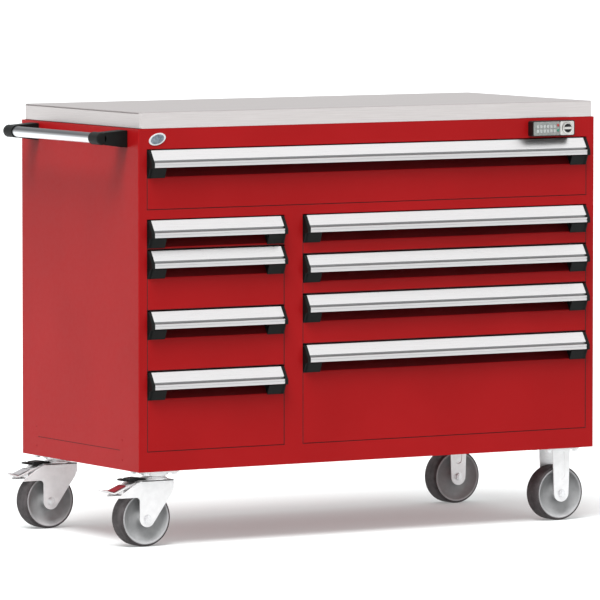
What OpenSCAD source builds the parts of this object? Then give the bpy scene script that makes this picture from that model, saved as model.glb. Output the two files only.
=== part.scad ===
// Rolling tool chest: welded sheet-steel housing, nine drawers, worktop, push bar, lock and casters.
// Local axes before placing: X from the left face, Y from the front face backwards, Z from the floor.

/* [Housing] */
// Width of the housing over its side faces
body_w = 1524; // [1400:1:1700]
// Depth of the housing, front face to back face
body_d = 686; // [680:1:760]
// Height of the housing's underside above the floor
ground = 214; // [210:1:230]
// Thickness of the housing's sheet
sheet = 1.5; // [1.2:0.1:2]
// Width of each corner post
post_w = 26.5; // [24:0.5:32]
// Outer radius of the folds
fold_r = 3; // [2:0.5:5]
// Depth of the folded returns behind the front face
return_d = 30; // [26:1:34]
// Height of the rail under the banks
bottom_rail = 56; // [50:1:70]
// Height of the rail between the banks and the top drawer
mid_rail = 26; // [22:1:32]
// Height of the rail over the top drawer
top_rail = 57.5; // [56:0.5:70]

/* [Drawers] */
// Height of one drawer unit
unit = 28.5; // [28:0.5:30]
// Units of the top drawer
top_units = 6; // [4:1:8]
// Width of the left bank's opening
left_bank_w = 448.5; // [420:0.5:480]
// Width of the post between the banks
mid_post_w = 60; // [50:1:70]
// Thickness of the drawers' sheet
drawer_t = 1.2; // [1:0.1:1.5]
// Gap at each side of a drawer front
side_gap = 2.3; // [1.5:0.1:3]
// Gap under a drawer front
foot_gap = 1.6; // [1:0.1:2.5]
// Depth of a tray, front to back
tray_d = 600; // [560:5:620]
// Travel of a drawer
travel = 580; // [540:5:580]
// Depth of the finger recess
recess_d = 20; // [16:1:24]

/* [Pulls] */
// How far the lip of a pull stands out
lip_out = 24; // [20:1:28]
// Height from the slot's top to the lip's underside
lip_foot = 53; // [48:1:56]
// Width of each end cap
cap_w = 10; // [8:1:14]
// Width of each cap's foot
cap_foot_w = 55; // [40:1:60]

/* [Worktop] */
// Thickness of the worktop
top_h = 46; // [40:1:55]
// Inset of the worktop at the sides and the back
top_inset = 6; // [0:1:10]

/* [Push bar] */
// Distance of the bar's axis from the left face
bar_out = 79; // [70:1:90]
// Radius of the bar
bar_r = 15; // [12:0.5:16]
// Outer radius of the bracket collars
collar_r = 18; // [17.5:0.5:20]
// Height of the bar's axis above the housing's underside
bar_up = 938; // [900:1:945]

/* [Casters] */
// Radius of the wheels
wheel_r = 80; // [76:1:80]
// Width of the wheels
wheel_w = 60; // [44:1:60]
// Distance of each wheel's centre plane from the middle of the depth
wheel_y = 282; // [270:1:290]
// Distance of the swivel axes from the left face
swivel_x = 82; // [80:1:120]
// Offset of a swivel wheel's axle from its swivel axis
trail = 42; // [36:1:44]
// Distance of the rigid axles from the right face
rigid_inset = 95; // [85:1:140]
// Radius of the axles
axle_r = 6; // [5:0.5:7]

/* [Hidden] */
$fn = 64;
left_units = [3, 6, 6, 8];
right_units = [4, 4, 5, 10];
bank_units = 23;
base_z = ground;
bank_z0 = base_z + bottom_rail;
bank_z1 = bank_z0 + bank_units * unit;
top_z0 = bank_z1 + mid_rail;
top_z1 = top_z0 + top_units * unit;
roof_z = top_z1 + top_rail;
left_x0 = post_w;
left_x1 = left_x0 + left_bank_w;
right_x0 = left_x1 + mid_post_w;
right_x1 = body_w - post_w;
mid_x = (left_x1 + right_x0) / 2;

// slide cross-section, measured from the opening's edge towards the tray
slide_w = 14;
slide_h = 42;
slide_len = 590;
slide_y = 25;
slide_gap = 0.4;
// glue line between a tray and what is fixed to it
joint_gap = 0.05;

lock_x0 = 1295;
lock_w = 145;
lock_h = 44;
lock_d = 30;
lock_z = top_z1 + 27.5;
knob_r = 18;

fork_gap = wheel_w / 2 + 4;
fork_t = 4;
fork_top = 108;
plate_t = 6;
plate_w = 114;
plate_d = 100;
bolt_dx = 90;
bolt_dy = 76;
axle_gap = 0.25;

// place of the local axes in the part's frame: the origin is under the middle of the whole outline
reach_left = bar_out + collar_r;
reach_front = lock_d;
frame_x = (reach_left - body_w) / 2;
frame_y = (reach_front - body_d) / 2;

red = [0.70, 0.13, 0.15];
steel = [0.84, 0.82, 0.81];
alu = [0.93, 0.93, 0.94];
dark = [0.11, 0.12, 0.12];
zinc = [0.88, 0.88, 0.90];

function sum_to(v, k) = k <= 0 ? 0 : v[k - 1] + sum_to(v, k - 1);
function arc(c, r, a0, a1, n = 8) =
  [for (i = [0:n]) c + r * [cos(a0 + (a1 - a0) * i / n), sin(a0 + (a1 - a0) * i / n)]];

// a slot is [left edge, right edge, top, bottom] of the room that one drawer takes
top_slot = [left_x0, right_x1, top_z1, top_z0];
function bank_slot(x0, x1, v, k) =
  [x0, x1, bank_z1 - unit * sum_to(v, k), bank_z1 - unit * sum_to(v, k + 1)];
function left_slot(k) = bank_slot(left_x0, left_x1, left_units, k - 1);
function right_slot(k) = bank_slot(right_x0, right_x1, right_units, k - 1);
tray_lift = 6;
tray_drop = 12;
function tray_z0(s) = s[3] + tray_lift;
function tray_z1(s) = s[2] - tray_drop;
function slide_z(s) = (tray_z0(s) + tray_z1(s)) / 2;
slots = concat([top_slot], [for (k = [1:4]) left_slot(k)], [for (k = [1:4]) right_slot(k)]);

module place() translate([frame_x, frame_y, 0]) children();
// draws an outline in (y, z) and runs it along X
module along_x(x0, len) translate([x0, 0, 0]) rotate([90, 0, 90]) linear_extrude(len) children();
// draws an outline in (x, z) and runs it along Y
module along_y(y0, len) translate([0, y0 + len, 0]) rotate([90, 0, 0]) linear_extrude(len) children();
module flip_x(at) translate([at, 0, 0]) mirror([1, 0, 0]) translate([-at, 0, 0]) children();
module rounded(w, h, r) {
  translate([r, 0]) square([w - 2 * r, h]);
  translate([0, r]) square([w, h - 2 * r]);
  for (x = [r, w - r], y = [r, h - r]) translate([x, y]) circle(r);
}

// plan of a side panel with its hollow posts: outer face at x = 0
module side_plan() {
  difference() {
    union() {
      translate([fold_r, 0]) square([post_w - fold_r, body_d]);
      translate([0, fold_r]) square([post_w, body_d - 2 * fold_r]);
      for (y = [fold_r, body_d - fold_r]) translate([fold_r, y]) circle(fold_r);
    }
    translate([sheet, sheet]) square([post_w - 2 * sheet, body_d - 2 * sheet]);
    translate([post_w / 2, return_d + sheet]) square([post_w, body_d - 2 * (return_d + sheet)]);
  }
}

side_hole_r = 3;
seam_w = 1.2;
seam_z = base_z + 54.5;
seam_depth = 0.7;
seam_y0 = 109.5;
seam_end = 95;
module side_panel() {
  difference() {
    translate([0, 0, base_z]) linear_extrude(roof_z - base_z) side_plan();
    // lapped seam over the foot
    translate([-1, seam_y0, seam_z]) cube([1 + seam_depth, body_d - seam_y0 - seam_end, seam_w]);
    for (y = [95, body_d - 87.5], z = [28, 84.5]) translate([-1, y, base_z + z])
      rotate([0, 90, 0]) cylinder(r = side_hole_r, h = sheet + 2);
  }
}
module left_side() color(red) place() side_panel();
module right_side() color(red) place() flip_x(body_w / 2) side_panel();

module back_panel() color(red) place() difference() {
  translate([post_w, body_d - sheet, base_z]) cube([body_w - 2 * post_w, sheet, roof_z - base_z]);
  for (x = [post_w + 20, body_w / 2, body_w - post_w - 20], z = [60, 500, 900])
    translate([x, body_d + 1, base_z + z]) rotate([90, 0, 0]) cylinder(r = 2.5, h = sheet + 2);
}

module caster_spots() {
  for (y = [body_d / 2 - wheel_y, body_d / 2 + wheel_y]) {
    translate([swivel_x, y, 0]) children();
    translate([body_w - rigid_inset, y, 0]) children();
  }
}
module bolt_spots() {
  caster_spots() for (x = [-1, 1] * bolt_dx / 2, y = [-1, 1] * bolt_dy / 2) translate([x, y, 0]) children();
}
bolt_r = 5;
pan_t = 2;
pan_y0 = return_d + sheet;
module base_pan() color(red) place() difference() {
  union() {
    translate([sheet, pan_y0, base_z]) cube([body_w - 2 * sheet, body_d - 2 * pan_y0, pan_t]);
    translate([post_w, pan_y0, base_z]) cube([body_w - 2 * post_w, body_d - sheet - pan_y0, pan_t]);
  }
  bolt_spots() translate([0, 0, base_z - 1]) cylinder(r = bolt_r, h = pan_t + 2);
}

// front frame: four members, each a channel open at the back
module channel_hole(x0, z0, w, h)
  translate([x0 + sheet, sheet, z0 + sheet]) cube([w - 2 * sheet, return_d + 1, h - 2 * sheet]);
module opening(x0, z0, x1, z1) translate([x0, -1, z0]) cube([x1 - x0, return_d + 4, z1 - z0]);
module front_frame() color(red) place() difference() {
  translate([post_w, 0, base_z]) cube([body_w - 2 * post_w, return_d + sheet, roof_z - base_z]);
  opening(left_x0 - 1, bank_z0, left_x1, bank_z1);
  opening(right_x0, bank_z0, right_x1 + 1, bank_z1);
  opening(left_x0 - 1, top_z0, right_x1 + 1, top_z1);
  channel_hole(post_w, base_z, body_w - 2 * post_w, bottom_rail);
  channel_hole(post_w, bank_z1, body_w - 2 * post_w, mid_rail);
  channel_hole(post_w, top_z1, body_w - 2 * post_w, top_rail);
  channel_hole(left_x1, bank_z0 - 2 * sheet, mid_post_w, bank_z1 - bank_z0 + 4 * sheet);
  bolt_spots() translate([0, 0, base_z - 1]) cylinder(r = bolt_r, h = sheet + 2);
}

module centre_partition() color(red) place()
  translate([mid_x - sheet / 2, pan_y0, base_z + pan_t])
    cube([sheet, body_d - sheet - pan_y0, bank_z1 - base_z]);

module cabinet_rail() difference() {
  translate([0, -slide_h / 2]) square([8, slide_h]);
  translate([2, -slide_h / 2 + 2]) square([8, slide_h - 4]);
}
mid_h = slide_h - 4 - 2 * slide_gap;
module middle_rail() difference() {
  translate([2.5, -mid_h / 2]) square([9.5, mid_h]);
  translate([4.5, -mid_h / 2 + 2]) square([9.5, mid_h - 4]);
}
inner_h = mid_h - 4 - 2 * slide_gap;
module drawer_rail() {
  translate([12.4, -slide_h / 2 + 1]) square([slide_w - joint_gap - 12.4, slide_h - 2]);
  for (z = [-inner_h / 2, inner_h / 2 - 2]) translate([5, z]) square([8, 2]);
}
// the rail outline at both edges of a slot
module at_slot(s) translate([0, 0, slide_z(s)]) {
  along_y(slide_y, slide_len) translate([s[0], 0]) children();
  along_y(slide_y, slide_len) translate([s[1], 0]) mirror([1, 0]) children();
}
upright_d = 30;
module upright(x0, x1, z1) for (y = [60, body_d - 126])
  translate([x0, y, base_z + pan_t]) difference() {
    cube([x1 - x0, upright_d, z1 - base_z - pan_t]);
    translate([sheet, sheet, -1]) cube([x1 - x0 - 2 * sheet, upright_d, z1 - base_z]);
  }
module slide_rails() color(steel) place() {
  for (s = slots) at_slot(s) cabinet_rail();
  upright(sheet, left_x0, top_z1);
  upright(right_x1, body_w - sheet, top_z1);
  upright(left_x1, mid_x - sheet / 2, bank_z1);
  upright(mid_x + sheet / 2, right_x0, bank_z1);
}

corner_r = 9;
top_w = body_w - 2 * top_inset;
top_d = body_d - top_inset;
top_t = 2;
hem = 40;
module worktop() color(steel) place() translate([top_inset, 0, roof_z]) difference() {
  linear_extrude(top_h) rounded(top_w, top_d, corner_r);
  translate([top_t, top_t, top_t])
    cube([top_w - 2 * top_t, top_d - 2 * top_t, top_h - 2 * top_t]);
  for (i = [0:3]) translate([hem + i * (top_w - hem) / 4, hem, -1])
    cube([(top_w - hem) / 4 - hem, top_d - 2 * hem, top_t + 2]);
}

// push bar
bar_z = base_z + bar_up;
bar_y0 = 75;
bracket_y0 = 62;
collar_len = 56;
bracket_h = 48;
bracket_w = 44;
bar_wall = 2;
end_r = 8;
// rounded end of a collar, from its middle outwards
module collar_end() intersection() {
  union() {
    translate([0, -end_r]) square([collar_r - end_r, end_r + 1]);
    translate([collar_r - end_r, 0]) circle(end_r);
  }
  translate([0, -end_r]) square([collar_r, end_r + 1]);
}
module push_bar() color(alu) place() translate([-bar_out, bar_y0, bar_z]) rotate([-90, 0, 0]) difference() {
  cylinder(r = bar_r, h = body_d - 2 * bar_y0);
  translate([0, 0, -1]) cylinder(r = bar_r - bar_wall, h = body_d - 2 * bar_y0 + 2);
}
module bracket() difference() {
  union() {
    translate([-bar_out, bracket_y0 + end_r, bar_z]) rotate([-90, 0, 0]) {
      cylinder(r = collar_r, h = collar_len - end_r);
      rotate_extrude() collar_end();
    }
    // arm from the wall plate to the collar
    translate([0, bracket_y0, 0]) along_y(0, bracket_w) polygon([
      [0, bar_z - bracket_h / 2 - 2], [0, bar_z + bracket_h / 2 - 2], [-10, bar_z + bracket_h / 2 - 2],
      [-bar_out + 4, bar_z + collar_r - 1], [-bar_out + 4, bar_z - collar_r + 1],
      [-10, bar_z - bracket_h / 2 - 2]]);
  }
  translate([-bar_out, bar_y0, bar_z]) rotate([-90, 0, 0]) cylinder(r = bar_r, h = 80);
}
module push_bar_brackets() color(dark) place() {
  bracket();
  translate([0, body_d, 0]) mirror([0, 1, 0]) bracket();
}

// lock on the top rail
knob_x = lock_x0 + lock_w - 26;
knob_t = 3.6;
spindle_r = 5;
spindle_gap = 0.3;
module lock_housing() color(dark) place() difference() {
  translate([lock_x0, 0, lock_z - lock_h / 2]) along_y(-lock_d + 4, lock_d - 4) rounded(lock_w, lock_h, 5);
  translate([knob_x, -lock_d - 1, lock_z]) rotate([-90, 0, 0])
    cylinder(r = spindle_r + spindle_gap, h = 18);
}
module lock_keypad() color(zinc) place() difference() {
  union() {
    translate([lock_x0 + 2, 0, lock_z - lock_h / 2 + 2]) along_y(-lock_d + 2, 2)
      rounded(lock_w - 4, lock_h - 4, 4);
    for (i = [0:5], j = [0, 1]) translate([lock_x0 + 14 + i * 12, 0, lock_z - 12 + j * 13])
      along_y(-lock_d + 1, 2) rounded(8, 9, 2);
  }
  translate([knob_x, -lock_d - 1, lock_z]) rotate([-90, 0, 0]) cylinder(r = knob_r + 0.6, h = 6);
}
module lock_knob() color(zinc) place() translate([knob_x, 0, lock_z]) rotate([90, 0, 0]) {
  translate([0, 0, lock_d - knob_t]) difference() {
    cylinder(r = knob_r, h = knob_t);
    translate([-2, -13, knob_t - 2]) cube([4, 26, 4]);
  }
  translate([0, 0, lock_d - 15]) cylinder(r = spindle_r, h = 12);
}
module lock_bar() color(steel) place() {
  translate([right_x1 + 4, pan_y0 + 3, bank_z0 - 20]) cube([12, 3, top_z1 - bank_z0]);
  for (s = [top_slot, right_slot(1), right_slot(2), right_slot(3), right_slot(4)])
    translate([right_x1 - 2, pan_y0 + 3, slide_z(s) + slide_h / 2 + 4]) cube([8, 3, 8]);
}
// slanted oval badge, blank
badge_x = 60;
badge_size = [26, 17.5];
badge_slant = 0.45;
badge_t = 1.6;
module badge() color([0.8, 0.82, 0.84]) place() along_y(-badge_t, badge_t) translate([badge_x, lock_z])
  polygon([for (a = [0:10:350])
    [badge_size[0] * cos(a) + badge_slant * badge_size[1] * sin(a), badge_size[1] * sin(a)]]);

// casters
module wheel_at(x, y) place() translate([x, y, wheel_r]) rotate([90, 0, 0]) children();
shoulder = 6;
tyre_in = 66;
module tyre() rotate_extrude() {
  translate([tyre_in, -wheel_w / 2]) square([wheel_r - shoulder - tyre_in, wheel_w]);
  translate([tyre_in, -wheel_w / 2 + shoulder]) square([wheel_r - tyre_in, wheel_w - 2 * shoulder]);
  for (z = [-1, 1]) translate([wheel_r - shoulder, z * (wheel_w / 2 - shoulder)]) circle(shoulder);
}
hub_r = 20;
module wheel_core() rotate_extrude() difference() {
  union() {
    translate([0, -wheel_w / 2 - 2]) square([hub_r, wheel_w + 4]);
    translate([0, -7]) square([tyre_in, 14]);
    translate([tyre_in - 8, -wheel_w / 2 + 3]) square([8, wheel_w - 6]);
    for (m = [-1, 1]) polygon([[hub_r - 1, m * 20], [tyre_in - 20, m * 6], [hub_r - 1, m * 6]]);
  }
  translate([-1, -50]) square([1 + axle_r + axle_gap, 100]);
}
tyre_grey = [0.36, 0.34, 0.35];
core_grey = [0.62, 0.63, 0.64];
left_axle_x = swivel_x - trail;
right_axle_x = body_w - rigid_inset;
front_y = body_d / 2 - wheel_y;
rear_y = body_d / 2 + wheel_y;

module nut() cylinder(r = 11, h = 6, $fn = 6);
module axle() {
  translate([0, 0, -fork_gap - fork_t]) cylinder(r = axle_r, h = 2 * (fork_gap + fork_t));
  for (m = [0, 1]) mirror([0, 0, m]) translate([0, 0, fork_gap + fork_t]) nut();
}

// swivel fork, in (x, z) measured from the axle
fork_end = 24;
pivot = [-30, 96];
pivot_r = 3;
module fork_leg() difference() {
  polygon(concat(
    arc([0, 0], fork_end, 180, 326, 14),
    [[64, 48], [80, 70], [86, 84], [86, fork_top], [-18, fork_top], [-34, 101], [-89, 67], [-90, 61]],
    arc([-36, 49], 12, 90, 0, 6)));
  circle(axle_r);
}
module at_axle(y) place() translate([left_axle_x, y, wheel_r]) children();
pin_r = 8;
module fork() {
  difference() {
    union() {
      for (y = [-fork_gap - fork_t, fork_gap]) along_y(y, fork_t) fork_leg();
      translate([-18, -fork_gap - fork_t, fork_top - fork_t]) cube([104, 2 * (fork_gap + fork_t), fork_t]);
      translate([trail, 0, fork_top - fork_t]) cylinder(r = 40, h = fork_t + 9);
    }
    translate([trail, 0, fork_top - 10]) cylinder(r = pin_r + axle_gap, h = 40);
  }
  translate([pivot[0], fork_gap + 1, pivot[1]]) rotate([90, 0, 0])
    cylinder(r = pivot_r, h = 2 * fork_gap + 2);
}
module pedal() difference() {
  union() {
    along_y(-26, 52) {
      translate(pivot) circle(6);
      polygon([[-29, 102], [-60, 92], [-97, 76], [-131, 86],
        [-131, 83], [-98, 72], [-62, 86], [-34, 91]]);
    }
    along_y(-18, 36) polygon([[-46, 92], [-68, 86], [-64, 68], [-52, 68]]);
  }
  along_y(-50, 100) translate(pivot) circle(pivot_r + axle_gap);
}
race_z = wheel_r + fork_top + 9.5;
module swivel_plate() difference() {
  union() {
    translate([-plate_w / 2, -plate_d / 2, base_z - plate_t]) cube([plate_w, plate_d, plate_t]);
    translate([0, 0, race_z]) cylinder(r = 44, h = base_z - race_z);
    translate([0, 0, wheel_r + fork_top - fork_t - 4]) cylinder(r = pin_r, h = 24);
    translate([0, 0, wheel_r + fork_top - fork_t - 5]) cylinder(r = 13, h = 4.5);
  }
  for (x = [-1, 1] * bolt_dx / 2, y = [-1, 1] * bolt_dy / 2) translate([x, y, base_z - 10])
    cylinder(r = bolt_r, h = 20);
}
rigid_h = base_z - wheel_r;
module rigid_leg() difference() {
  polygon(concat(arc([0, 0], 25, 180, 360, 16), [[30, rigid_h - 2], [-30, rigid_h - 2]]));
  circle(axle_r);
}
module rigid_fork() {
  difference() {
    union() {
      for (y = [-fork_gap - fork_t, fork_gap]) along_y(y, fork_t) rigid_leg();
      translate([-plate_w / 2, -plate_d / 2, rigid_h - plate_t]) cube([plate_w, plate_d, plate_t]);
    }
    for (x = [-1, 1] * bolt_dx / 2, y = [-1, 1] * bolt_dy / 2) translate([x, y, rigid_h - 10])
      cylinder(r = bolt_r, h = 20);
  }
}
module swivel_plates() color(zinc) place()
  for (y = [front_y, rear_y]) translate([swivel_x, y, 0]) swivel_plate();
module front_fork() color(zinc) at_axle(front_y) fork();
module rear_fork() color(zinc) at_axle(rear_y) fork();
module front_pedal() color(zinc) at_axle(front_y) pedal();
module rear_pedal() color(zinc) at_axle(rear_y) pedal();
module front_axle() color(zinc) wheel_at(left_axle_x, front_y) axle();
module rear_axle() color(zinc) wheel_at(left_axle_x, rear_y) axle();
module rigid_forks() color(zinc) place()
  for (y = [front_y, rear_y]) translate([right_axle_x, y, wheel_r]) rigid_fork();
module rigid_axles() color(zinc) for (y = [front_y, rear_y]) wheel_at(right_axle_x, y) axle();
module caster_bolts() color(zinc) place() bolt_spots() {
  translate([0, 0, base_z - plate_t - 6]) cylinder(r = 9, h = 6, $fn = 6);
  translate([0, 0, base_z - plate_t - 1]) cylinder(r = bolt_r, h = plate_t + pan_t + 10);
}

// drawer: folded front with the finger recess, tray and slide members
recess_top = 50;
recess_foot = 82;
front_top = 6;
module front_skin(s) {
  zt = s[2];
  zb = s[3] + foot_gap;
  t = drawer_t;
  translate([0, zb]) square([t, zt - recess_foot - zb]);
  polygon([[0, zt - recess_foot], [recess_d, zt - recess_top], [recess_d + t, zt - recess_top],
    [recess_d + t, zt - recess_top - 1.2 * t], [t, zt - recess_foot - 1.2 * t],
    [0, zt - recess_foot - 0.2]]);
  translate([recess_d, zb]) square([t, zt - front_top - zb]);
  translate([0, zb]) square([recess_d - 6, t]);
}
module front_end(s) polygon([[0, s[3] + foot_gap], [0, s[2] - recess_foot], [recess_d, s[2] - recess_top],
  [recess_d + drawer_t, s[2] - recess_top], [recess_d + drawer_t, s[3] + foot_gap]]);
// tray: two side plates over the whole depth, with the end plates and the floor between them
module tray(s) {
  x0 = s[0] + slide_w;
  x1 = s[1] - slide_w;
  y0 = recess_d + drawer_t + joint_gap;
  y1 = recess_d + tray_d;
  wall = drawer_t + joint_gap;
  h = tray_z1(s) - tray_z0(s);
  translate([0, 0, tray_z0(s)]) {
    for (x = [x0, x1 - drawer_t]) translate([x, y0, 0]) cube([drawer_t, y1 - y0, h]);
    for (y = [y0, y1 - drawer_t]) translate([x0 + wall, y, 0]) cube([x1 - x0 - 2 * wall, drawer_t, h]);
    translate([x0 + wall, y0 + wall, 0]) cube([x1 - x0 - 2 * wall, y1 - y0 - 2 * wall, drawer_t]);
  }
}
module drawer(s) color(red) place() {
  x0 = s[0] + side_gap;
  w = s[1] - s[0] - 2 * side_gap;
  along_x(x0, w) front_skin(s);
  for (x = [x0, x0 + w - drawer_t]) along_x(x, drawer_t) front_end(s);
  tray(s);
  at_slot(s) drawer_rail();
}
module slides(s) color(steel) place() at_slot(s) middle_rail();

// pull, in (y, z) with z = 0 at the slot's top
gap_top = 3.5;
module pull_section() polygon([
  [recess_d, -gap_top], [-1, -gap_top], [-19, -32], [-15.5, -33.5], [-15.5, -38], [-21, -39.2],
  [-lip_out, -40.5], [-lip_out, -lip_foot + 1], [-lip_out + 1, -lip_foot], [-lip_out + 3.5, -lip_foot],
  [-lip_out + 3.5, -43], [-13, -40], [-13, -31], [0.5, -gap_top - 2.2], [recess_d - 2, -gap_top - 2.2],
  [recess_d - 2, -34], [recess_d, -34]]);
module cap_section() polygon([
  [recess_d, -gap_top + 0.5], [-2, -gap_top + 0.5], [-20, -31.5], [-lip_out - 1, -39],
  [-lip_out - 1, -lip_foot - 0.8],
  [-13, -lip_foot - 0.8], [-0.5, -recess_foot], [0, -recess_foot], [recess_d, -recess_top]]);
foot_back = recess_d * (recess_foot - lip_foot - 0.8) / (recess_foot - recess_top);
module foot_section() polygon([
  [-13, -lip_foot - 0.8], [-0.5, -recess_foot], [0, -recess_foot], [foot_back, -lip_foot - 0.8]]);
module pull(s) color(alu) place() translate([0, 0, s[2]]) {
  x0 = s[0] + side_gap;
  w = s[1] - s[0] - 2 * side_gap;
  along_x(x0 + cap_w, w - 2 * cap_w) pull_section();
  along_x(x0, cap_w) cap_section();
  along_x(x0 + w - cap_w, cap_w) cap_section();
  along_x(x0 + cap_w, cap_foot_w - cap_w) foot_section();
  along_x(x0 + w - cap_foot_w, cap_foot_w - cap_w) foot_section();
}

module front_left_tyre() color(tyre_grey) wheel_at(left_axle_x, front_y) tyre();
module front_left_core() color(core_grey) wheel_at(left_axle_x, front_y) wheel_core();
module rear_left_tyre() color(tyre_grey) wheel_at(left_axle_x, rear_y) tyre();
module rear_left_core() color(core_grey) wheel_at(left_axle_x, rear_y) wheel_core();
module front_right_tyre() color(tyre_grey) wheel_at(right_axle_x, front_y) tyre();
module front_right_core() color(core_grey) wheel_at(right_axle_x, front_y) wheel_core();
module rear_right_tyre() color(tyre_grey) wheel_at(right_axle_x, rear_y) tyre();
module rear_right_core() color(core_grey) wheel_at(right_axle_x, rear_y) wheel_core();
module top_drawer() drawer(top_slot);
module left_drawer_1() drawer(left_slot(1));
module left_drawer_2() drawer(left_slot(2));
module left_drawer_3() drawer(left_slot(3));
module left_drawer_4() drawer(left_slot(4));
module right_drawer_1() drawer(right_slot(1));
module right_drawer_2() drawer(right_slot(2));
module right_drawer_3() drawer(right_slot(3));
module right_drawer_4() drawer(right_slot(4));
module top_pull() pull(top_slot);
module left_pull_1() pull(left_slot(1));
module left_pull_2() pull(left_slot(2));
module left_pull_3() pull(left_slot(3));
module left_pull_4() pull(left_slot(4));
module right_pull_1() pull(right_slot(1));
module right_pull_2() pull(right_slot(2));
module right_pull_3() pull(right_slot(3));
module right_pull_4() pull(right_slot(4));
module top_slides() slides(top_slot);
module left_slides_1() slides(left_slot(1));
module left_slides_2() slides(left_slot(2));
module left_slides_3() slides(left_slot(3));
module left_slides_4() slides(left_slot(4));
module right_slides_1() slides(right_slot(1));
module right_slides_2() slides(right_slot(2));
module right_slides_3() slides(right_slot(3));
module right_slides_4() slides(right_slot(4));

left_side();
right_side();
back_panel();
base_pan();
front_frame();
centre_partition();
slide_rails();
worktop();
push_bar();
push_bar_brackets();
lock_housing();
lock_keypad();
lock_knob();
lock_bar();
badge();
swivel_plates();
front_fork();
rear_fork();
front_axle();
rear_axle();
front_pedal();
rear_pedal();
rigid_forks();
rigid_axles();
caster_bolts();
front_left_tyre();
rear_left_tyre();
front_right_tyre();
rear_right_tyre();
front_left_core();
rear_left_core();
front_right_core();
rear_right_core();
top_drawer();
left_drawer_1();
left_drawer_2();
left_drawer_3();
left_drawer_4();
right_drawer_1();
right_drawer_2();
right_drawer_3();
right_drawer_4();
top_pull();
left_pull_1();
left_pull_2();
left_pull_3();
left_pull_4();
right_pull_1();
right_pull_2();
right_pull_3();
right_pull_4();
top_slides();
left_slides_1();
left_slides_2();
left_slides_3();
left_slides_4();
right_slides_1();
right_slides_2();
right_slides_3();
right_slides_4();
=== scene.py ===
import math
import bpy
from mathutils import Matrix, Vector


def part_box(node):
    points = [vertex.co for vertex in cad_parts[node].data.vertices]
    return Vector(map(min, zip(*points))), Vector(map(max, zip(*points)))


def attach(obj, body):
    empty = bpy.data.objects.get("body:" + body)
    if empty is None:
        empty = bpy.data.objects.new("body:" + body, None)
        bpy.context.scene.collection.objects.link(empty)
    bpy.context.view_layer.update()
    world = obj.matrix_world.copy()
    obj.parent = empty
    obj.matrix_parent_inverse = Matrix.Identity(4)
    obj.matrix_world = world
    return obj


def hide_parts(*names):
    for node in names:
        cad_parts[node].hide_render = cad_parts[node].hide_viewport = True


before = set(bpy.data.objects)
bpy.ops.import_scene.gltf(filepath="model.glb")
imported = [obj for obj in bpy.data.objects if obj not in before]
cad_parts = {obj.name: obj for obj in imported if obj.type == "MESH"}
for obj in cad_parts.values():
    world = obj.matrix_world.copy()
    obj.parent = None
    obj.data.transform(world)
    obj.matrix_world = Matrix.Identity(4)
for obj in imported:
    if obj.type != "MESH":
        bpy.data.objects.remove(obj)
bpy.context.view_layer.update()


# working helpers
def deselectAll():
    if bpy.context.object and bpy.context.object.mode != "OBJECT":
        bpy.ops.object.mode_set(mode="OBJECT")
    bpy.ops.object.select_all(action="DESELECT")


def pick(piece):
    deselectAll()
    piece.select_set(True)
    bpy.context.view_layer.objects.active = piece


# enters edit mode with only the faces or edges that the test picks
def editFaces(piece, test):
    pick(piece)
    bpy.context.tool_settings.mesh_select_mode = (False, False, True)
    clearMarks(piece)
    for face in piece.data.polygons:
        face.select = test(face.center, face.normal)
    bpy.ops.object.mode_set(mode="EDIT")


def editEdges(piece, test):
    pick(piece)
    bpy.context.tool_settings.mesh_select_mode = (False, True, False)
    clearMarks(piece)
    points = piece.data.vertices
    for edge in piece.data.edges:
        edge.select = test(points[edge.vertices[0]].co, points[edge.vertices[1]].co)
    bpy.ops.object.mode_set(mode="EDIT")


def clearMarks(piece):
    for group in (piece.data.vertices, piece.data.edges, piece.data.polygons):
        group.foreach_set("select", [False] * len(group))


def leaveEdit():
    bpy.ops.object.mode_set(mode="OBJECT")


def addBlock(name, low, high):
    deselectAll()
    low, high = Vector(low), Vector(high)
    bpy.ops.mesh.primitive_cube_add(size=1, location=(low + high) / 2, scale=high - low)
    return settle(name)


def addRod(name, middle, radius, length, axis, sides=48):
    deselectAll()
    turn = {"X": (0, math.pi / 2, 0), "Y": (math.pi / 2, 0, 0), "Z": (0, 0, 0)}[axis]
    bpy.ops.mesh.primitive_cylinder_add(vertices=sides, radius=radius, depth=length, location=middle,
                                        rotation=turn)
    return settle(name)


def settle(name):
    piece = bpy.context.object
    piece.name = name
    bpy.ops.object.transform_apply(location=True, rotation=True, scale=True)
    return piece


def axisPoint(axis, along, a, b):
    return Vector({"X": (along, a, b), "Y": (a, along, b), "Z": (a, b, along)}[axis])


# draws a line of points by extruding one point after another
def drawLine(name, spots):
    deselectAll()
    bpy.ops.mesh.primitive_plane_add(size=0.001, location=(0, 0, 0))
    piece = bpy.context.object
    piece.name = name
    bpy.ops.object.mode_set(mode="EDIT")
    bpy.context.tool_settings.mesh_select_mode = (True, False, False)
    bpy.ops.mesh.select_all(action="SELECT")
    bpy.ops.mesh.merge(type="CENTER")
    bpy.ops.transform.translate(value=spots[0])
    for here, there in zip(spots, spots[1:]):
        bpy.ops.mesh.extrude_vertices_move(TRANSFORM_OT_translate={"value": there - here})
    bpy.ops.mesh.select_all(action="SELECT")
    return piece


# fills a closed outline and runs it along one axis
def sweepOutline(name, outline, axis, start, length):
    piece = drawLine(name, [axisPoint(axis, start, a, b) for a, b in outline])
    bpy.ops.mesh.edge_face_add()
    bpy.ops.mesh.extrude_region_move(TRANSFORM_OT_translate={"value": axisPoint(axis, length, 0, 0)})
    bpy.ops.mesh.select_all(action="SELECT")
    bpy.ops.mesh.normals_make_consistent(inside=False)
    leaveEdit()
    return piece


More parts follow.
